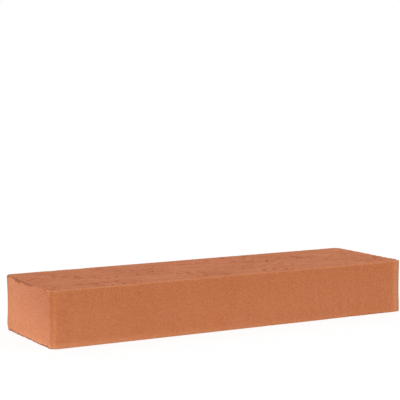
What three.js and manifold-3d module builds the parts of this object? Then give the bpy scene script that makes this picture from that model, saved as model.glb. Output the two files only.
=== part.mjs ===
// Clay brick: a long, low facing brick with smooth faces, cut from an extruded column of clay.
//
// The column came out of the die upright, so its section is the brick's plan: two long faces,
// two end faces and four rounded corners, each with a shallow groove where the die's end plate
// met its corner. A wire cut the column to the brick's height. The cuts are the two flat beds,
// and the wire left a thin lip along the bed edges of both ends. Drying and firing drew the
// walls in between the beds, so that they are slightly hollow from bed to bed.
//
// Frame, in millimetres: the origin is the centre of the lower bed, +X runs along the length,
// +Y through the width and +Z up.
import * as THREE from 'three';
import { mergeVertices } from 'three/addons/utils/BufferGeometryUtils.js';
import Module from 'manifold-3d';

// Overall sizes. The length is measured over the lips, the width at the beds.
const LENGTH = 390;
const WIDTH = 115;
const HEIGHT = 53;

// Upright corners, rounded by the die.
const CORNER_RADIUS = 6.5;

// Groove down each upright corner. Its angle round the corner is measured from the end face.
const GROOVE_ANGLE = THREE.MathUtils.degToRad(26);
const GROOVE_DEPTH = 0.35;
const GROOVE_RADIUS = 11;

// Rounding of the bed edges.
const EDGE_RADIUS = 0.3;

// How far the middle of a wall lies behind its bed edges.
const END_HOLLOW = 0.5;
const FACE_HOLLOW = 0.2;

// Lip that the wire left on the ends: it stands out at the bed and slopes back to the end face.
const LIP_REACH = 0.5;
const LIP_EDGE = 0.5;
const LIP_HEIGHT = 2;

// Facets: an arc is cut into twice the first number. The second counts the facets round a bed
// edge, and the third those up a hollow wall. That is odd, so that the middle one is upright.
const ARC_DETAIL = 4;
const EDGE_FACETS = 2;
const WALL_FACETS = 15;

const BODY_LENGTH = LENGTH - 2 * LIP_REACH;

const wasm = await Module();
wasm.setup();

function toSolid(geometry) {
  const bare = geometry.clone();
  bare.deleteAttribute('normal');
  bare.deleteAttribute('uv');
  const merged = mergeVertices(bare);
  const mesh = new wasm.Mesh({
    numProp: 3,
    vertProperties: new Float32Array(merged.attributes.position.array),
    triVerts: new Uint32Array(merged.index.array),
  });
  return new wasm.Manifold(mesh);
}

function toGeometry(solid) {
  const mesh = solid.getMesh();
  const geometry = new THREE.BufferGeometry();
  geometry.setAttribute('position', new THREE.BufferAttribute(mesh.vertProperties, mesh.numProp));
  geometry.setIndex(new THREE.BufferAttribute(mesh.triVerts, 1));
  geometry.computeVertexNormals();
  return geometry;
}

// The centre of a plan's corner arc. quadrant counts round from the corner at +X, +Y.
function cornerCentre(length, width, quadrant) {
  const towardsX = quadrant === 0 || quadrant === 3 ? 1 : -1;
  const towardsY = quadrant < 2 ? 1 : -1;
  return new THREE.Vector2(
    towardsX * (length / 2 - CORNER_RADIUS),
    towardsY * (width / 2 - CORNER_RADIUS),
  );
}

// A rectangle with four round corners, centred on the origin of the plan.
function roundedPlan(length, width) {
  const plan = new THREE.Shape();
  for (let quadrant = 0; quadrant < 4; quadrant += 1) {
    const centre = cornerCentre(length, width, quadrant);
    const start = (quadrant * Math.PI) / 2;
    plan.absarc(centre.x, centre.y, CORNER_RADIUS, start, start + Math.PI / 2);
  }
  plan.closePath();
  return plan;
}

// The die's opening: the same plan, with each corner's arc broken by its groove.
function diePlan() {
  const offset = CORNER_RADIUS + GROOVE_RADIUS - GROOVE_DEPTH;
  const cosHalf =
    (CORNER_RADIUS ** 2 + offset ** 2 - GROOVE_RADIUS ** 2) / (2 * CORNER_RADIUS * offset);
  const half = Math.acos(cosHalf);
  const turn = Math.asin((CORNER_RADIUS * Math.sin(half)) / GROOVE_RADIUS);
  const plan = new THREE.Shape();
  for (let quadrant = 0; quadrant < 4; quadrant += 1) {
    const { x, y } = cornerCentre(BODY_LENGTH, WIDTH, quadrant);
    const start = (quadrant * Math.PI) / 2;
    const end = start + Math.PI / 2;
    const groove = quadrant % 2 === 0 ? start + GROOVE_ANGLE : end - GROOVE_ANGLE;
    const grooveX = x + offset * Math.cos(groove);
    const grooveY = y + offset * Math.sin(groove);
    const inwards = groove + Math.PI;
    plan.absarc(x, y, CORNER_RADIUS, start, groove - half);
    plan.absarc(grooveX, grooveY, GROOVE_RADIUS, inwards + turn, inwards - turn, true);
    plan.absarc(x, y, CORNER_RADIUS, groove + half, end);
  }
  plan.closePath();
  return plan;
}

// Draws the walls in between the beds. Each point moves along its own way out of the plan.
function hollowWalls(geometry) {
  const points = geometry.attributes.position;
  const coreX = BODY_LENGTH / 2 - CORNER_RADIUS;
  const coreY = WIDTH / 2 - CORNER_RADIUS;
  for (let i = 0; i < points.count; i += 1) {
    const x = points.getX(i);
    const y = points.getY(i);
    const out = new THREE.Vector2(
      x - THREE.MathUtils.clamp(x, -coreX, coreX),
      y - THREE.MathUtils.clamp(y, -coreY, coreY),
    ).normalize();
    const depth = END_HOLLOW * out.x ** 2 + FACE_HOLLOW * out.y ** 2;
    const fromMiddle = (points.getZ(i) - HEIGHT / 2) / (HEIGHT / 2 - EDGE_RADIUS);
    const drawnIn = depth * Math.max(0, 1 - fromMiddle ** 2);
    points.setXY(i, x - drawnIn * out.x, y - drawnIn * out.y);
  }
  return geometry;
}

// The column, cut to height, with its rounded bed edges and its hollow walls.
function columnGeometry() {
  const column = new THREE.ExtrudeGeometry(diePlan(), {
    depth: HEIGHT - 2 * EDGE_RADIUS,
    steps: WALL_FACETS,
    bevelThickness: EDGE_RADIUS,
    bevelSize: EDGE_RADIUS,
    bevelOffset: -EDGE_RADIUS,
    bevelSegments: EDGE_FACETS,
    curveSegments: ARC_DETAIL,
  });
  column.translate(0, 0, EDGE_RADIUS);
  return hollowWalls(column);
}

// An upright block that the lips stay within, so that they run out before the round corners.
function lipLimitGeometry() {
  return new THREE.ExtrudeGeometry(roundedPlan(LENGTH, WIDTH - 2 * CORNER_RADIUS), {
    depth: HEIGHT,
    bevelEnabled: false,
    curveSegments: ARC_DETAIL,
  });
}

// The lips of one bed, both ends in one bar: its section lies in XZ and is swept through Y.
// The slope of a lip runs on into the brick. bedSide is -1 for the lower bed, 1 for the upper.
function lipBarGeometry(bedSide) {
  const tip = LENGTH / 2;
  const root = BODY_LENGTH / 2 - LIP_REACH;
  const rootHeight = 2 * LIP_HEIGHT - LIP_EDGE;
  const section = new THREE.Shape();
  section.moveTo(-tip, 0);
  section.lineTo(tip, 0);
  section.lineTo(tip, LIP_EDGE);
  section.lineTo(root, rootHeight);
  section.lineTo(-root, rootHeight);
  section.lineTo(-tip, LIP_EDGE);
  section.closePath();
  const bar = new THREE.ExtrudeGeometry(section, { depth: WIDTH, bevelEnabled: false });
  bar.translate(0, 0, -WIDTH / 2);
  bar.rotateX((bedSide * -Math.PI) / 2);
  bar.translate(0, 0, bedSide > 0 ? HEIGHT : 0);
  return bar;
}

// The column with its lips. Faces that lie in one plane are joined at the end.
function brickGeometry() {
  let brick = toSolid(columnGeometry());
  const lipLimit = toSolid(lipLimitGeometry());
  for (const bedSide of [-1, 1]) {
    brick = brick.add(toSolid(lipBarGeometry(bedSide)).intersect(lipLimit));
  }
  return toGeometry(brick.asOriginal());
}

const firedClay = new THREE.MeshStandardMaterial({
  color: 0xbf744d,
  roughness: 0.9,
  metalness: 0,
});

const brick = new THREE.Mesh(brickGeometry(), firedClay);
brick.name = 'brick';

const part = new THREE.Group();
part.add(brick);

export default part;
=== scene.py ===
# Clay brick: the looks of one long facing brick that lies on a plain pale floor.
#
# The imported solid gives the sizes. One dense mesh stands for it here and adds what the kiln,
# the die and the cutting wire leave on such a brick: torn lips, worn edges and dragged beds.
# Lengths are metres in the row frame. Sizes of relief are written in millimetres times MM.
from collections import namedtuple
from math import cos, exp, pi, radians, sin, sqrt

import bpy
from mathutils import Matrix, Vector, noise


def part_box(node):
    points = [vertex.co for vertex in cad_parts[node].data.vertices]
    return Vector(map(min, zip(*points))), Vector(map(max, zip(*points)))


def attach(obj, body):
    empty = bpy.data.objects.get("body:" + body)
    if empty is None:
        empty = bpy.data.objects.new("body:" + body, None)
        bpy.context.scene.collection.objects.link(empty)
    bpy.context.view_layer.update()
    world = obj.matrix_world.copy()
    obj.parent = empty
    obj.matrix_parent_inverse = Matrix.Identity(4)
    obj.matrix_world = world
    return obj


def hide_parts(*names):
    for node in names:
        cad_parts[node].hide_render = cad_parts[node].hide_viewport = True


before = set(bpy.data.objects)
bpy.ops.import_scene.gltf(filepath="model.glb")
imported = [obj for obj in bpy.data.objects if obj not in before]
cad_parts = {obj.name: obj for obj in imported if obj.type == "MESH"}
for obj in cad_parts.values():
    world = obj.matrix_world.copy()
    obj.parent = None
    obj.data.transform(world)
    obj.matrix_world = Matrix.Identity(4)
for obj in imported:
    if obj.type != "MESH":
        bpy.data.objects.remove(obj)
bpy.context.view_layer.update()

MM = 0.001

# The solid's sizes. From the corner radius on they repeat the part's source, which can't be
# read from here.
LOW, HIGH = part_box("brick")
HALF_LENGTH = HIGH.x
HALF_WIDTH = HIGH.y
HEIGHT = HIGH.z
CORNER_RADIUS = 6.5 * MM
GROOVE_ANGLE = radians(26)
GROOVE_DEPTH = 0.35 * MM
END_HOLLOW = 0.5 * MM
FACE_HOLLOW = 0.2 * MM
LIP_REACH = 0.5 * MM
LIP_HEIGHT = 2.0 * MM
HALF_BODY = HALF_LENGTH - LIP_REACH

# Half of the angle that the groove spans on the round corner.
GROOVE_SPREAD = radians(15)

# The painted shade and darker line of clay that run down the groove, by the same angles.
GROOVE_SHADE_ANGLE = radians(31)
GROOVE_SHADE_SPREAD = radians(18)

# Mesh steps: along the length, through the width, up the height and round a corner.
LENGTH_STEP = 1.45 * MM
WIDTH_STEP = 1.1 * MM
HEIGHT_STEP = 1.9 * MM
CORNER_STEPS = 22
EDGE_STEPS = [d * MM for d in (0, 0.15, 0.35, 0.6, 0.95, 1.4, 2.0, 2.8, 3.8, 5.0)]
BED_STEPS = [d * MM for d in (0, 0.3, 0.75)]

# Relief on the smooth faces.
EDGE_ROUND = 0.3 * MM
WAVE_DEPTH = 0.09 * MM
DRAG_DEPTH = 0.04 * MM

# Chips out of the bed edges: their size, the noise at which one starts, how much sooner that is on
# the ends, and how much more noise makes it whole.
CHIP_DEPTH = 1.1 * MM
CHIP_HEIGHT = 1.3 * MM
CHIP_START = 0.36
END_CHIPS = 0.24
CHIP_RISE = 0.25

# Torn clay on the ends: scars under the upper bed, and a thin dark line along the lower one, which
# is torn clay and painted shade where the end meets the floor. Each is whole up to a share of its
# height. The line's least height is a share of its plain one.
SCAR_DEPTH = 0.35 * MM
SCAR_HEIGHT = 3.5 * MM
SCAR_WHOLE = 0.75
CUT_HEIGHT = 1.3 * MM
CUT_LEAST = 0.4
CUT_WHOLE = 0.5

# How lips and torn clay run out round the corners: gone at the first cosine of the angle from
# the end face, and whole at the second.
LIP_RUN_OUT = (0.3, 0.95)
TORN_RUN_OUT = (0.5, 0.95)

# Mixes of noise: a plain amount, and then the weight of each field.
LIP_MIX = (0.40, 0.8, 0.7, 0.6)
LIP_HEIGHT_MIX = (1, 0.3, 0.4)
SCAR_MIX = (0.1, 1.6, 0.6)
CUT_MIX = (1, 2)
RAGGED_MIX = (0, 0.6, 0.6, 0.5)

# The walls spread in a foot at the lower bed and in a smaller brim at the upper one. The foot
# is full up to its first height and gone at its second. The left end's stands out more.
FOOT_HEIGHTS = (5 * MM, 22 * MM)
BRIM_HEIGHTS = (34 * MM, 52 * MM)
BRIM_SHARE = 0.55
LEFT_SHARE = 0.45

# Relief on the wire-cut beds. Near their edges only a share of it is left. A range gives the
# noise at which a form starts and at which it is whole. A cover is added to the noise: the more,
# the more of the bed the form covers.
SCRATCH_DEPTH = 0.45 * MM
SCRATCH_RANGE = (0, 0.5)
STREAK_DEPTH = 0.15 * MM
STREAK_COVER = 0.4
SWELL_DEPTH = 0.25 * MM
SWELL_COVER = 0.3
CRUMB_DEPTH = 0.45 * MM
CRUMB_COVER = 0.1
TEAR_DEPTH = 0.9 * MM
TEAR_RANGE = (0.10, 0.34)
TEAR_PATCH_RANGE = (-0.25, 0.35)
TEAR_STEP = 2.2 * MM
TEAR_WANDER = 2 * MM
RAGGED_DEPTH = 0.9 * MM
LOWER_RAGGED_DEPTH = 0.4 * MM
RAGGED_RANGE = (-0.05, 0.7)
RAGGED_WIDTH = 1.3 * MM
EDGE_SHARE = 0.15
EDGE_WIDTH = 4 * MM

# A place this far below the plain bed is coloured as the deepest torn clay. The beds darken with
# their depth: painted shade in their hollows, and torn clay in their tears.
DEEP_DROP = 1.2 * MM

# Fields of noise, each with a seed and the sizes of its bumps along x, y and z. Those without a
# size along z don't change with height. Lips and beds have a lower and an upper field: the upper
# one takes the next seed.
Field = namedtuple("Field", "seed x y z", defaults=(1,))
WAVES = Field(1, 70 * MM, 50 * MM, 45 * MM)
DRAGS = Field(2, 4 * MM, 4 * MM, 60 * MM)
CHIPS = Field(325, 7 * MM, 3.5 * MM, 30 * MM)
LIP_RUNS = Field(5, 20 * MM, 17 * MM)
LIP_LUMPS = Field(7, 20 * MM, 5 * MM)
LIP_CRUMBS = Field(9, 20 * MM, 1.9 * MM)
SCAR_RUNS = Field(606, 20 * MM, 21 * MM)
SCAR_TEETH = Field(32, 20 * MM, 3.5 * MM)
CUT_SPOTS = Field(38, 20 * MM, 2.2 * MM)
TEARS = Field(11, 8 * MM, 6 * MM)
TEAR_PATHS = Field(33, 5 * MM, 3 * MM)
TEAR_PATCHES = Field(35, 45 * MM, 28 * MM)
SCRATCHES = Field(13, 45 * MM, 1.9 * MM)
STREAKS = Field(15, 90 * MM, 6 * MM)
SWELLS = Field(17, 28 * MM, 24 * MM)
CRUMBS = Field(19, 3.2 * MM, 2.6 * MM)
RAGGED_RUNS = Field(21, 30 * MM, 19 * MM)
RAGGED_LUMPS = Field(23, 30 * MM, 4.5 * MM)
RAGGED_CRUMBS = Field(25, 30 * MM, 1.7 * MM)

# How far apart in the noise two fields lie whose seeds differ by 1.
SEED_SHIFT = 31.7

# How far an edge's own shift is carried into the faces beside it, so that no face folds over.
CARRY = 6 * MM

# The worn corner: lower, left and at the back. Its middle lies a little inside the end and the
# long side, and the wear fades by a power of the nearness.
WORN_PLACE = Vector((-HALF_BODY + 0.8 * MM, HALF_WIDTH - 3.3 * MM, 0))
WORN_REACH = 8.0 * MM
WORN_DEPTH = 3.6 * MM
WORN_TOWARDS = Vector((0.7, -0.5, 0.5))
WORN_FADE = 3

# The mesh attributes that tell the material where it is. The rim of a bed is marked as this much
# of a bed.
MARKS = ("bed", "torn", "groove_line_and_shade", "end")
RIM_BED = 0.5

# Colours, linear.
CLAY = (0.5145, 0.1597, 0.0535, 1)
CLAY_PALE = (0.658, 0.258, 0.112, 1)
CLAY_DARK = (0.440, 0.113, 0.025, 1)
CLAY_DEEP = (0.230, 0.050, 0.012, 1)

# Weights in the grain: of its noise, its coarse and fine grains, and its clouds.
GRAIN_NOISE = 1.65
GRAIN_COARSE = 0.22
GRAIN_FINE = 0.30
GRAIN_CLOUD = 0.12

# Weights in the tone. It is 0 for plain clay, 1 for the palest and -1 for the deepest.
GRAIN_TONE = 1.06
PATCH_TONE = 0.30
STREAK_TONE = 0.18
SCRATCH_TONE = 0.30
DRAG_TONE = 0.40
BED_TONE = -0.04
PALE_SPOT_TONE = 0.55
DARK_SPOT_TONE = -0.60
BAND_TONE = 0.45
PIT_TONE = -1.50
TORN_AND_SHADE_TONE = -0.90

# The tone of dark clay.
DARK_CLAY_TONE = -0.5

# How much more the grain varies on the ends than elsewhere.
END_CONTRAST = 0.4

# The share of the clay's colour that the painted shade and dark line in the groove take away.
GROOVE_SHADE_SHARE = 0.16

# Pale bands: along the lower bed and the upper one, at the foot of the ends, and beside the
# right end's corners. The last two are full at their second distance from the edge. The lower band
# and the foot of the ends are partly painted light from the floor.
LOW_BAND = 8 * MM
HIGH_BAND = 2.2 * MM
FOOT_BAND = (4 * MM, 1.5 * MM)
CORNER_BAND = (13 * MM, 9 * MM)

# Strength of the lower bed's band on the long sides: at the right and at the left, with the
# places between which it changes. On the ends it fades out towards the back, between two places.
# These changes of strength are painted light.
LOW_BAND_RIGHT = 0.45
LOW_BAND_LEFT = 1.3
LOW_BAND_CHANGE = (100 * MM, -HALF_LENGTH)
LOW_BAND_FADE = (40 * MM, 5 * MM)

# Painted light: how much paler the walls are painted from the upper bed to the lower one, and from
# the right end to the left one. The ends are painted still paler towards the lower bed, more so at
# the front, and also towards the back.
LOWER_PAINTED_LIGHT = 0.18
LEFT_PAINTED_LIGHT = 0.09
END_LOWER_PAINTED_LIGHT = 0.14
END_FRONT_LOWER_PAINTED_LIGHT = 0.30
END_BACK_PAINTED_LIGHT = 0.15

# A paler upright strip on each end: how far it lies towards the back, and its reach to each side.
STRIP_PLACE = 32 * MM
STRIP_REACH = 18 * MM
STRIP_PALER = 0.12

# The clay's patterns of noise: the size of their bumps, how much detail they have and how rough it
# is. Some are stretched, down the walls or along the beds with the cutting wire.
Pattern = namedtuple("Pattern", "size detail roughness stretch", defaults=(2, 0.5, (1, 1, 1)))
PATCHES = Pattern(75 * MM)
CLOUDS = Pattern(12 * MM)
GRAIN = Pattern(1.3 * MM, 5, 0.75)
WALL_STREAKS = Pattern(5 * MM, stretch=(1, 1, 0.06))
WALL_SCRATCHES = Pattern(0.9 * MM, stretch=(1, 1, 0.04))
BED_DRAGS = Pattern(3 * MM, 4, 0.65, (0.2, 1, 1))
SAND = Pattern(1.0 * MM)
BED_SAND = Pattern(2.4 * MM, 3, stretch=(0.7, 1, 1))
GLOSS = Pattern(2 * MM)

# Sizes of the clay's grains.
COARSE_GRAIN = 1.5 * MM
FINE_GRAIN = 0.7 * MM

# Spots: the spacing of the cells, the radius of a spot and the share of the cells with one. A
# spot is whole within this share of its radius.
PALE_SPOTS = (5 * MM, 0.6 * MM, 0.3)
DARK_SPOTS = (3.5 * MM, 0.4 * MM, 0.3)
PITS = (8 * MM, 0.6 * MM, 0.2)
SPOT_WHOLE = 0.2

# How far noise pushes the edges of the clay's grains and spots about, as a share of their size.
WARP = 0.8

# Weights in the bump, in millimetres of height.
SAND_BUMP = 0.40
FINE_GRAIN_BUMP = 0.04
SCRATCH_BUMP = 0.08
BED_SAND_BUMP = 1.20
PIT_BUMP = -0.40

# Roughness, with what noise and the beds add to it.
CLAY_ROUGHNESS = 0.86
NOISE_ROUGHNESS = 0.12
BED_ROUGHNESS = 0.05
CLAY_SPECULAR = 0.5
CLAY_SHEEN = 0.05

# Camera: the photograph's frame is 400 pixels square.
FRAME_PIXELS = 400
FOCAL_PIXELS = 1348.9
SENSOR_WIDTH = 36
CAMERA_PLACE = Vector((-0.6551, -1.1585, 0.2495))
CAMERA_TURN = radians(29.08)
CAMERA_DIP = radians(5.55)
CAMERA_ROLL = radians(-0.18)

# Light: an even sky and one soft sun from the left.
SKY_LIGHT = 0.722
SUN_LIGHT = 1.48
SUN_FROM = Vector((-0.55, -0.49, 0.67))
SUN_SOFTNESS = radians(20)

# A low glow, as from a pale table. Its lamp lies just above the floor, off the left end.
GLOW_LIGHT = 0.091
GLOW_SIZE = Vector((0.20, 0.30))
GLOW_GAP = 1 * MM
GLOW_BACK = 85 * MM
GLOW_HEIGHT = 0.5 * MM

# The floor: the share of its white, as the camera sees it, that doesn't depend on the light, and
# its grey as the light meets it.
FLOOR_SIZE = 60
FLOOR_GLOW = 0.8
FLOOR_GREY = (0.8, 0.8, 0.8, 1)


# ---- Small helpers for the relief ---------------------------------------------------------

def noise_at(field, x, y, z=0, side=0):
    """Smooth noise from -1 to 1. side is 0 for the lower field of a pair, 1 for the upper."""
    shift = SEED_SHIFT * (field.seed + side)
    return noise.noise(Vector((x / field.x + shift, y / field.y, z / field.z)))


def ramp(value, start, end):
    """0 at start, 1 at end and smooth between them."""
    t = min(1, max(0, (value - start) / (end - start)))
    return t * t * (3 - 2 * t)


def fade(distance, reach):
    """1 at an edge, and 0 from reach onwards."""
    return max(0, 1 - distance / reach)


def mixed(mix, *noises):
    """A plain amount plus the noises, each with its weight."""
    total = mix[0]
    for weight, value in zip(mix[1:], noises):
        total += weight * value
    return total


def bed_distance(z):
    """Height above or below the nearer bed."""
    return min(z, HEIGHT - z)


# ---- Faces that the die made --------------------------------------------------------------

def rounding(distance):
    """How far a rounded edge draws in, at a distance below it."""
    if distance >= EDGE_ROUND:
        return 0
    rest = EDGE_ROUND - distance
    return EDGE_ROUND - sqrt(EDGE_ROUND ** 2 - rest ** 2)


def chip(x, y, z, angle):
    """0 to 1: small chips out of the bed edges, more of them at the ends."""
    start = CHIP_START - END_CHIPS * cos(angle)
    broken = ramp(noise_at(CHIPS, x, y, z), start, start + CHIP_RISE)
    return broken * fade(bed_distance(z), CHIP_HEIGHT * (1 + cos(angle)))


def groove(angle):
    """Depth of the groove at an angle round the corner, measured from the end face."""
    across = (angle - GROOVE_ANGLE) / GROOVE_SPREAD
    return GROOVE_DEPTH * max(0, 1 - across * across)


def hollow(x, z, angle):
    """How far the wall is drawn in between its foot and its brim. The foot is 0 or less."""
    depth = END_HOLLOW * cos(angle) ** 2 + FACE_HOLLOW * sin(angle) ** 2
    foot = 1 - ramp(z, *FOOT_HEIGHTS)
    brim = ramp(z, *BRIM_HEIGHTS)
    left = LEFT_SHARE * cos(angle) * ramp(-x, HALF_BODY - CORNER_RADIUS, HALF_BODY)
    return depth * (1 - (1 + left) * foot - (BRIM_SHARE + left) * brim)


def lip(x, y, z, angle):
    """How far the torn lip stands out of an end at this place."""
    side = 0 if z < HEIGHT / 2 else 1
    run = noise_at(LIP_RUNS, x, y, side=side)
    lump = noise_at(LIP_LUMPS, x, y, side=side)
    crumb = noise_at(LIP_CRUMBS, x, y, side=side)
    reach = ramp(mixed(LIP_MIX, run, lump, crumb), 0, 1)
    tall = LIP_HEIGHT * mixed(LIP_HEIGHT_MIX, lump, crumb)
    reach *= ramp((Vector((x, y, z)) - WORN_PLACE).length, WORN_REACH, 2 * WORN_REACH)
    return LIP_REACH * reach * fade(bed_distance(z), tall) * ramp(cos(angle), *LIP_RUN_OUT)


def scar(x, y, z, angle):
    """0 to 1: where the wire tore the smooth skin off an end, under the upper bed."""
    run = noise_at(SCAR_RUNS, x, y)
    teeth = noise_at(SCAR_TEETH, x, y)
    tall = SCAR_HEIGHT * mixed(SCAR_MIX, run, teeth) * ramp(cos(angle), *TORN_RUN_OUT)
    return ramp(HEIGHT - z, tall, SCAR_WHOLE * tall) if tall > 0 else 0


def shaded_cut_line(x, y, z, angle):
    """0 to 1: a thin dark line along the lower edge of an end, taller in spots: torn clay and
    painted shade.
    """
    tall = CUT_HEIGHT * max(CUT_LEAST, mixed(CUT_MIX, noise_at(CUT_SPOTS, x, y)))
    return ramp(z, tall, CUT_WHOLE * tall) * ramp(cos(angle), *TORN_RUN_OUT)


def inset(x, y, z, angle):
    """How far the wall lies inside the plain plan at this place. Below 0 it stands out."""
    wave = WAVE_DEPTH * noise_at(WAVES, x, y, z)
    drag = DRAG_DEPTH * noise_at(DRAGS, x, y, z)
    depth = wave + drag + rounding(bed_distance(z)) + groove(angle) + hollow(x, z, angle)
    depth += CHIP_DEPTH * chip(x, y, z, angle) + SCAR_DEPTH * scar(x, y, z, angle)
    return depth - lip(x, y, z, angle)


# ---- Beds that the wire cut ---------------------------------------------------------------

def tear(x, y, side):
    """0 to 1: small scales that the wire lifted. They open towards where it came from."""
    along = x + TEAR_WANDER * noise_at(TEAR_PATHS, x, y, side=side)
    here = noise_at(TEARS, along, y, side=side)
    ahead = noise_at(TEARS, along + TEAR_STEP, y, side=side)
    patch = ramp(noise_at(TEAR_PATCHES, x, y, side=side), *TEAR_PATCH_RANGE)
    return ramp(ahead - here, *TEAR_RANGE) * patch


def ragged_edge(x, y, side):
    """Clay torn from the bed along the two ends, more from the upper bed."""
    run = noise_at(RAGGED_RUNS, x, y, side=side)
    lump = noise_at(RAGGED_LUMPS, x, y, side=side)
    crumb = noise_at(RAGGED_CRUMBS, x, y, side=side)
    torn = ramp(mixed(RAGGED_MIX, run, lump, crumb), *RAGGED_RANGE)
    depth = RAGGED_DEPTH if side else LOWER_RAGGED_DEPTH
    depth *= ramp(HALF_WIDTH - abs(y), 0, CORNER_RADIUS)
    return depth * torn * exp(-(HALF_BODY - abs(x)) / RAGGED_WIDTH)


def bed_drop(x, y, side):
    """How far the bed lies inside the plain box. side is 0 for the lower bed, 1 for the upper."""
    scratch = noise_at(SCRATCHES, x, y, side=side)
    streak = noise_at(STREAKS, x, y, side=side)
    swell = noise_at(SWELLS, x, y, side=side)
    crumb = noise_at(CRUMBS, x, y, side=side)
    drop = SCRATCH_DEPTH * ramp(scratch, *SCRATCH_RANGE)
    drop += STREAK_DEPTH * max(0, STREAK_COVER + streak) + SWELL_DEPTH * max(0, SWELL_COVER + swell)
    drop += CRUMB_DEPTH * max(0, CRUMB_COVER + crumb) + TEAR_DEPTH * tear(x, y, side)
    inside = ramp(min(HALF_WIDTH - abs(y), HALF_BODY - abs(x)), 0, EDGE_WIDTH)
    return drop * (EDGE_SHARE + (1 - EDGE_SHARE) * inside) + ragged_edge(x, y, side)


# ---- The mesh -----------------------------------------------------------------------------

def stations(length, step, fine):
    """Places from 0 to length: the distances in fine from both ends, even steps between."""
    inner = length - 2 * fine[-1]
    count = round(inner / step)
    middle = [fine[-1] + inner * i / count for i in range(1, count)]
    return fine + middle + [length - d for d in reversed(fine)]


def plan_columns():
    """(x, half width, angle) across the plan, from the left end to the right. The angle is
    measured round the corner from the end face, and is a right angle on the long faces."""
    turn_x = HALF_BODY - CORNER_RADIUS
    turn_y = HALF_WIDTH - CORNER_RADIUS
    corner = []
    for i in range(CORNER_STEPS):
        angle = pi / 2 * i / CORNER_STEPS
        x = turn_x + CORNER_RADIUS * cos(angle)
        corner.append((x, turn_y + CORNER_RADIUS * sin(angle), angle))
    straight = [
        (d - turn_x, HALF_WIDTH, pi / 2)
        for d in stations(2 * turn_x, LENGTH_STEP, [0])
    ]
    left = [(-x, width, angle) for x, width, angle in corner]
    return left + straight + corner[::-1]


COLUMNS = plan_columns()
ROWS = [d / HALF_WIDTH - 1 for d in stations(2 * HALF_WIDTH, WIDTH_STEP, BED_STEPS)]
LEVELS = stations(HEIGHT, HEIGHT_STEP, EDGE_STEPS)


def side_shift(column, row, z):
    """Shift in plan of a long side's or a corner's wall at a column. row gives the side."""
    x, half_width, angle = column
    y = half_width if row > 0 else -half_width
    depth = inset(x, y, z, angle)
    out_x = cos(angle) if x > 0 else -cos(angle)
    out_y = sin(angle) if row > 0 else -sin(angle)
    return Vector((-out_x * depth, -out_y * depth))


def end_shift(x, row, z):
    """Shift in plan of an end's wall. The sign of x gives the end."""
    y = row * (HALF_WIDTH - CORNER_RADIUS)
    depth = inset(HALF_BODY if x > 0 else -HALF_BODY, y, z, 0)
    return Vector((-depth if x > 0 else depth, 0))


def plan_shift(column, row, z):
    """Shift in plan anywhere. It equals the walls' shifts at the walls and fades inwards."""
    x, half_width, _ = column
    near_side = fade((1 - abs(row)) * half_width, CARRY)
    near_end = fade(HALF_BODY - abs(x), CARRY)
    shift = Vector((0, 0))
    if near_side > 0:
        shift += near_side * side_shift(column, row, z)
    if near_end > 0:
        shift += near_end * end_shift(x, row, z)
    if near_side > 0 and near_end > 0:
        shift -= near_side * near_end * end_shift(x, 1 if row > 0 else -1, z)
    return shift


def worn(point):
    """Pulls a point in where the lower left corner at the back has been knocked round."""
    near = fade((point - WORN_PLACE).length, WORN_REACH)
    return point + WORN_TOWARDS * WORN_DEPTH * near ** WORN_FADE


def surface_point(column, row, z):
    """Where the real surface lies for a place on the plain brick."""
    x, half_width, _ = column
    y = row * half_width
    lower = bed_drop(x, y, 0) * fade(z, CARRY)
    upper = bed_drop(x, y, 1) * fade(HEIGHT - z, CARRY)
    shift = plan_shift(column, row, z)
    point = worn(Vector((x + shift.x, y + shift.y, z + lower - upper)))
    return Vector((
        min(HIGH.x, max(LOW.x, point.x)),
        min(HIGH.y, max(LOW.y, point.y)),
        min(HIGH.z, max(LOW.z, point.z)),
    ))


def face_grids():
    """The six grids of places that cover the brick. Each runs so that its faces look out."""
    last_column = len(COLUMNS) - 1
    last_row = len(ROWS) - 1
    last_level = len(LEVELS) - 1
    columns = range(last_column + 1)
    rows = range(last_row + 1)
    levels = range(last_level + 1)
    return [
        [[(c, r, 0) for c in columns] for r in reversed(rows)],
        [[(c, r, last_level) for c in columns] for r in rows],
        [[(c, 0, v) for c in columns] for v in levels],
        [[(c, last_row, v) for c in columns] for v in reversed(levels)],
        [[(0, r, v) for r in rows] for v in reversed(levels)],
        [[(last_column, r, v) for r in rows] for v in levels],
    ]


def add_marks(mesh, places):
    """Writes the mesh attributes that the material reads."""
    marks = [marks_at(*place) for place in places]
    for name, values in zip(MARKS, zip(*marks)):
        attribute = mesh.attributes.new(name, "FLOAT", "POINT")
        attribute.data.foreach_set("value", values)


def marks_at(c, r, v):
    """How far a point of the mesh lies on a bed, in torn clay and painted shade, in the groove's
    dark line and painted shade, and on an end.
    """
    x, half_width, angle = COLUMNS[c]
    y = ROWS[r] * half_width
    on_bed = v in (0, len(LEVELS) - 1)
    on_side = r in (0, len(ROWS) - 1)
    if not on_side and c not in (0, len(COLUMNS) - 1):
        # On a bed the torn mark grows with depth: painted shade in the hollows, and torn clay in
        # the tears.
        return 1, bed_drop(x, y, 1 if v else 0) / DEEP_DROP, 0, 0
    turn = angle if on_side else 0
    where = (x, y, LEVELS[v], turn)
    # Torn clay of scars and chips, and along the lower edge torn clay with painted shade.
    torn = max(scar(*where), chip(*where), shaded_cut_line(*where))
    # Painted shade, with a darker line of clay, down the groove.
    groove_line_and_shade_mark = max(0, 1 - ((turn - GROOVE_SHADE_ANGLE) / GROOVE_SHADE_SPREAD) ** 2)
    return (RIM_BED if on_bed else 0), torn, groove_line_and_shade_mark, cos(turn) ** 2


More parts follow.
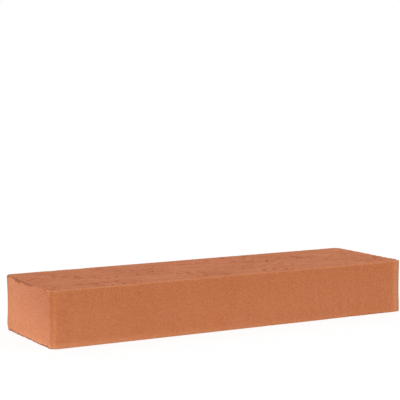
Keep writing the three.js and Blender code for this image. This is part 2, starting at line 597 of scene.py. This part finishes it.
def brick_mesh():
    """The closed surface, with attributes that tell the material where it is."""
    places = {}
    faces = []
    for grid in face_grids():
        numbers = [[places.setdefault(key, len(places)) for key in line] for line in grid]
        for line, next_line in zip(numbers, numbers[1:]):
            for a, b, c, d in zip(line, line[1:], next_line[1:], next_line):
                faces.append((a, b, c, d))
    points = [surface_point(COLUMNS[c], ROWS[r], LEVELS[v]) for c, r, v in places]
    mesh = bpy.data.meshes.new("brick_skin")
    mesh.from_pydata(points, [], faces)
    mesh.shade_smooth()
    add_marks(mesh, places)
    return mesh


# ---- The material -------------------------------------------------------------------------

class Nodes:
    """Adds nodes to a material or a world and links them, with short calls."""

    def __init__(self, owner):
        self.tree = owner.node_tree

    def add(self, kind, settings=None, **inputs):
        """A new node. The names of its inputs are written with _ for each space."""
        node = self.tree.nodes.new(kind)
        for name, value in (settings or {}).items():
            setattr(node, name, value)
        for name, value in inputs.items():
            self.put(node.inputs[name.replace("_", " ")], value)
        return node

    def put(self, socket, value):
        """Links a socket to another one, or sets it to a plain value."""
        if isinstance(value, bpy.types.NodeSocket):
            self.tree.links.new(value, socket)
        else:
            socket.default_value = value

    def math(self, operation, a, b=0.0):
        """The result of one operation on numbers."""
        node = self.tree.nodes.new("ShaderNodeMath")
        node.operation = operation
        self.put(node.inputs[0], a)
        self.put(node.inputs[1], b)
        return node.outputs[0]

    def place(self, stretch=(1, 1, 1)):
        """The object's own coordinates, stretched."""
        coordinates = self.add("ShaderNodeTexCoord").outputs["Object"]
        node = self.add("ShaderNodeMapping", {"vector_type": "POINT"})
        self.put(node.inputs["Vector"], coordinates)
        self.put(node.inputs["Scale"], stretch)
        return node.outputs["Vector"]

    def axes(self):
        """The object's own coordinates, as outputs X, Y and Z."""
        return self.add("ShaderNodeSeparateXYZ", Vector=self.place()).outputs

    def noise(self, pattern):
        """A pattern's noise, about 0."""
        vector = self.place(pattern.stretch)
        node = self.add("ShaderNodeTexNoise", Vector=vector, Scale=1 / pattern.size)
        self.put(node.inputs["Detail"], pattern.detail)
        self.put(node.inputs["Roughness"], pattern.roughness)
        return self.math("SUBTRACT", node.outputs[0], 0.5)

    def warped(self, size):
        """The object's own coordinates, pushed about by noise of that size."""
        shift = self.add("ShaderNodeTexNoise", Vector=self.place(), Scale=1 / size)
        moved = self.add("ShaderNodeVectorMath", {"operation": "MULTIPLY_ADD"})
        self.put(moved.inputs[0], shift.outputs["Color"])
        self.put(moved.inputs[1], (WARP * size, WARP * size, WARP * size))
        self.put(moved.inputs[2], self.place())
        return moved.outputs[0]

    def grains(self, size):
        """A random value about 0 in each grain of that size."""
        node = self.add("ShaderNodeTexVoronoi", Vector=self.warped(size), Scale=1 / size)
        chance = self.add("ShaderNodeSeparateColor", Color=node.outputs["Color"])
        return self.math("SUBTRACT", chance.outputs[0], 0.5)

    def dots(self, spacing, radius, share):
        """1 inside small spots: a share of the cells of that spacing hold one."""
        node = self.add("ShaderNodeTexVoronoi", Vector=self.warped(radius), Scale=1 / spacing)
        edge = radius / spacing
        inside = self.ramp(node.outputs["Distance"], edge, SPOT_WHOLE * edge)
        chance = self.add("ShaderNodeSeparateColor", Color=node.outputs["Color"])
        held = self.math("LESS_THAN", chance.outputs[0], share)
        return self.math("MULTIPLY", inside, held)

    def ramp(self, value, start, end):
        """0 at start, 1 at end, held outside them."""
        node = self.add("ShaderNodeMapRange", {"interpolation_type": "SMOOTHSTEP"})
        self.put(node.inputs["Value"], value)
        self.put(node.inputs["From Min"], start)
        self.put(node.inputs["From Max"], end)
        return node.outputs["Result"]

    def mix(self, share, first, second):
        """A share of the second shader over the first."""
        node = self.add("ShaderNodeMixShader", Fac=share)
        self.put(node.inputs[1], first)
        self.put(node.inputs[2], second)
        return node.outputs[0]

    def attribute(self, name):
        """A number that the mesh holds for each of its points."""
        return self.add("ShaderNodeAttribute", {"attribute_name": name}).outputs["Fac"]

    def total(self, terms):
        """Sum of (value, weight) pairs."""
        result = 0.0
        for value, weight in terms:
            result = self.math("ADD", result, self.math("MULTIPLY", value, weight))
        return result


def low_band_and_painted_light(nodes, end):
    """The pale band along the lower bed, with the foot of the ends: partly painted light from the
    floor.
    """
    axes = nodes.axes()
    side = nodes.math("SUBTRACT", 1.0, end)
    left = nodes.ramp(axes["X"], *LOW_BAND_CHANGE)
    front = nodes.ramp(axes["Y"], *LOW_BAND_FADE)
    strength = nodes.total([
        (side, LOW_BAND_RIGHT),
        (nodes.math("MULTIPLY", side, left), LOW_BAND_LEFT - LOW_BAND_RIGHT),
        (nodes.math("MULTIPLY", end, front), 1),
    ])
    foot = nodes.math("MULTIPLY", nodes.ramp(axes["Z"], *FOOT_BAND), end)
    band = nodes.math("ADD", nodes.ramp(axes["Z"], LOW_BAND, 0.0), foot)
    return nodes.math("MULTIPLY", band, strength)


def edge_bands(nodes, end):
    """The pale bands along the bed edges and down the right end's corners. The lower one is partly
    painted light.
    """
    axes = nodes.axes()
    high = nodes.ramp(axes["Z"], HEIGHT - HIGH_BAND, HEIGHT)
    right = nodes.ramp(axes["X"], *(HALF_LENGTH - reach for reach in CORNER_BAND))
    corner = nodes.math("MULTIPLY", nodes.math("SUBTRACT", 1.0, end), right)
    return nodes.math("MAXIMUM", nodes.math("MAXIMUM", low_band_and_painted_light(nodes, end), high), corner)


def painted_light_and_strip(nodes, end):
    """Painted light across the walls, about 0, and the paler upright strip on each end."""
    axes = nodes.axes()
    lower = nodes.math("SUBTRACT", nodes.ramp(axes["Z"], HEIGHT, 0.0), 0.5)
    left = nodes.math("SUBTRACT", nodes.ramp(axes["X"], HALF_LENGTH, -HALF_LENGTH), 0.5)
    back = nodes.math("SUBTRACT", nodes.ramp(axes["Y"], -HALF_WIDTH, HALF_WIDTH), 0.5)
    aside = nodes.math("ABSOLUTE", nodes.math("SUBTRACT", axes["Y"], STRIP_PLACE))
    on_ends = nodes.total([
        (lower, END_LOWER_PAINTED_LIGHT),
        (nodes.math("MULTIPLY", lower, back), -END_FRONT_LOWER_PAINTED_LIGHT),
        (back, END_BACK_PAINTED_LIGHT),
        (nodes.ramp(aside, STRIP_REACH, 0.0), STRIP_PALER),
    ])
    return nodes.total([
        (lower, LOWER_PAINTED_LIGHT),
        (left, LEFT_PAINTED_LIGHT),
        (nodes.math("MULTIPLY", on_ends, end), 1),
    ])


def tone_colour(nodes, tone):
    """The colour of clay of that tone."""
    node = nodes.add("ShaderNodeValToRGB", Fac=nodes.total([(tone, 0.5), (1.0, 0.5)]))
    colours = node.color_ramp.elements
    colours[0].color = CLAY_DEEP
    colours[1].color = CLAY_PALE
    colours.new(0.5 + 0.5 * DARK_CLAY_TONE).color = CLAY_DARK
    colours.new(0.5).color = CLAY
    return node.outputs["Color"]


def clay_colour(nodes, marks, pits):
    """The clay's colour: paler and darker round the plain tone."""
    bed, torn, groove_line_and_shade, end = marks
    walls = nodes.math("SUBTRACT", 1.0, bed)
    skin = nodes.math("MULTIPLY", walls, nodes.math("SUBTRACT", 1.0, torn))
    grain = nodes.total([
        (nodes.noise(GRAIN), GRAIN_NOISE),
        (nodes.grains(COARSE_GRAIN), GRAIN_COARSE),
        (nodes.grains(FINE_GRAIN), GRAIN_FINE),
        (nodes.noise(CLOUDS), GRAIN_CLOUD),
    ])
    contrast = nodes.math("ADD", nodes.math("MULTIPLY", end, END_CONTRAST), 1.0)
    tone = nodes.total([
        (nodes.math("MULTIPLY", grain, contrast), GRAIN_TONE),
        (nodes.noise(PATCHES), PATCH_TONE),
        (nodes.math("MULTIPLY", nodes.noise(WALL_STREAKS), walls), STREAK_TONE),
        (nodes.math("MULTIPLY", nodes.noise(WALL_SCRATCHES), walls), SCRATCH_TONE),
        (nodes.math("MULTIPLY", nodes.noise(BED_DRAGS), bed), DRAG_TONE),
        (bed, BED_TONE),
        (nodes.dots(*PALE_SPOTS), PALE_SPOT_TONE),
        (nodes.dots(*DARK_SPOTS), DARK_SPOT_TONE),
        # Pale bands; the lower one is partly painted light from the floor.
        (nodes.math("MULTIPLY", edge_bands(nodes, end), skin), BAND_TONE),
        # Painted light across the walls, with each end's paler strip.
        (nodes.math("MULTIPLY", painted_light_and_strip(nodes, end), skin), 1),
        (pits, PIT_TONE),
        # Torn clay, with painted shade in the beds' hollows and under the ends' lower edges.
        (torn, TORN_AND_SHADE_TONE),
    ])
    # The groove's painted shade and dark line scale the colour down.
    shade = nodes.total([(1.0, 1), (groove_line_and_shade, -GROOVE_SHADE_SHARE)])
    shaded = nodes.add("ShaderNodeVectorMath", {"operation": "SCALE"}, Scale=shade)
    nodes.put(shaded.inputs[0], tone_colour(nodes, tone))
    return shaded.outputs[0]


def clay_bump(nodes, bed, pits):
    """Fine relief: sandy grain everywhere, coarser on the beds, and small pits."""
    walls = nodes.math("SUBTRACT", 1.0, bed)
    height = nodes.total([
        (nodes.noise(SAND), SAND_BUMP),
        (nodes.grains(FINE_GRAIN), FINE_GRAIN_BUMP),
        (nodes.math("MULTIPLY", nodes.noise(WALL_SCRATCHES), walls), SCRATCH_BUMP),
        (nodes.math("MULTIPLY", nodes.noise(BED_SAND), bed), BED_SAND_BUMP),
        (pits, PIT_BUMP),
    ])
    bump = nodes.add("ShaderNodeBump", Height=height, Distance=MM)
    return bump.outputs["Normal"]


def fired_clay():
    """The brick's one material: dull, sandy clay."""
    material = bpy.data.materials.new("fired_clay")
    material.use_nodes = True
    nodes = Nodes(material)
    shader = material.node_tree.nodes["Principled BSDF"]
    marks = [nodes.attribute(name) for name in MARKS]
    bed = marks[0]
    pits = nodes.dots(*PITS)
    rougher = nodes.total([(nodes.noise(GLOSS), NOISE_ROUGHNESS), (bed, BED_ROUGHNESS)])
    nodes.put(shader.inputs["Base Color"], clay_colour(nodes, marks, pits))
    nodes.put(shader.inputs["Normal"], clay_bump(nodes, bed, pits))
    nodes.put(shader.inputs["Roughness"], nodes.math("ADD", rougher, CLAY_ROUGHNESS))
    shader.inputs["Specular IOR Level"].default_value = CLAY_SPECULAR
    shader.inputs["Sheen Weight"].default_value = CLAY_SHEEN
    return material


# ---- The stage ----------------------------------------------------------------------------

def seen_ray(nodes):
    """1 for the rays of the camera and of mirrors, which see a white background."""
    path = nodes.add("ShaderNodeLightPath")
    seen = nodes.math("MAXIMUM", path.outputs["Is Camera Ray"], path.outputs["Is Glossy Ray"])
    return nodes.math("MAXIMUM", seen, path.outputs["Is Transmission Ray"])


def pale_floor():
    """White where the camera sees it, pale grey for the light that it sends back."""
    material = bpy.data.materials.new("floor_paint")
    material.use_nodes = True
    nodes = Nodes(material)
    material.node_tree.nodes.remove(material.node_tree.nodes["Principled BSDF"])
    white = nodes.add("ShaderNodeBsdfDiffuse", Color=(1, 1, 1, 1))
    glow = nodes.add("ShaderNodeEmission", Color=(1, 1, 1, 1))
    shown = nodes.mix(FLOOR_GLOW, white.outputs[0], glow.outputs[0])
    lit = nodes.add("ShaderNodeBsdfDiffuse", Color=FLOOR_GREY)
    mix = nodes.mix(seen_ray(nodes), lit.outputs[0], shown)
    output = material.node_tree.nodes["Material Output"]
    nodes.put(output.inputs["Surface"], mix)
    return material


def add_floor():
    """A flat floor under the brick, which isn't part of it."""
    half = FLOOR_SIZE / 2
    corners = [(-half, -half, 0), (half, -half, 0), (half, half, 0), (-half, half, 0)]
    mesh = bpy.data.meshes.new("floor")
    mesh.from_pydata(corners, [], [(0, 1, 2, 3)])
    mesh.materials.append(pale_floor())
    floor = bpy.data.objects.new("floor", mesh)
    bpy.context.scene.collection.objects.link(floor)


def add_sky():
    """Even light from all round, which is white where it is seen."""
    world = bpy.data.worlds.new("sky")
    world.use_nodes = True
    nodes = Nodes(world)
    background = world.node_tree.nodes["Background"]
    seen = seen_ray(nodes)
    extra = nodes.math("MULTIPLY", seen, 1 - SKY_LIGHT)
    nodes.put(background.inputs["Color"], (1, 1, 1, 1))
    nodes.put(background.inputs["Strength"], nodes.math("ADD", extra, SKY_LIGHT))
    bpy.context.scene.world = world


def add_sun():
    """One soft light from the left, the front and above."""
    lamp = bpy.data.lights.new("sun", "SUN")
    lamp.energy = SUN_LIGHT
    lamp.angle = SUN_SOFTNESS
    sun = bpy.data.objects.new("sun", lamp)
    sun.rotation_euler = SUN_FROM.to_track_quat("Z", "Y").to_euler()
    bpy.context.scene.collection.objects.link(sun)


def add_glow():
    """Light from the floor that brightens the left end."""
    lamp = bpy.data.lights.new("glow", "AREA")
    lamp.shape = "RECTANGLE"
    lamp.size, lamp.size_y = GLOW_SIZE
    lamp.energy = GLOW_LIGHT
    glow = bpy.data.objects.new("glow", lamp)
    glow.location = (-HALF_LENGTH - GLOW_GAP - GLOW_SIZE.x / 2, GLOW_BACK, GLOW_HEIGHT)
    glow.rotation_euler = (pi, 0, 0)
    glow.visible_camera = False
    bpy.context.scene.collection.objects.link(glow)


def add_camera():
    """The camera at the photograph's viewing angle."""
    data = bpy.data.cameras.new("camera")
    data.sensor_width = SENSOR_WIDTH
    data.lens = SENSOR_WIDTH * FOCAL_PIXELS / FRAME_PIXELS
    camera = bpy.data.objects.new("camera", data)
    turn = Matrix.Rotation(-CAMERA_TURN, 4, "Z")
    dip = Matrix.Rotation(pi / 2 - CAMERA_DIP, 4, "X")
    roll = Matrix.Rotation(CAMERA_ROLL, 4, "Z")
    camera.matrix_world = Matrix.Translation(CAMERA_PLACE) @ turn @ dip @ roll
    bpy.context.scene.collection.objects.link(camera)
    bpy.context.scene.camera = camera


# ---- The scene ----------------------------------------------------------------------------

add_camera()
add_sky()
add_sun()
add_glow()
add_floor()

brick = bpy.data.objects.new("brick_skin", brick_mesh())
brick.data.materials.append(fired_clay())
bpy.context.scene.collection.objects.link(brick)
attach(brick, "root")
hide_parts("brick")

bpy.context.scene.view_settings.view_transform = "Standard"
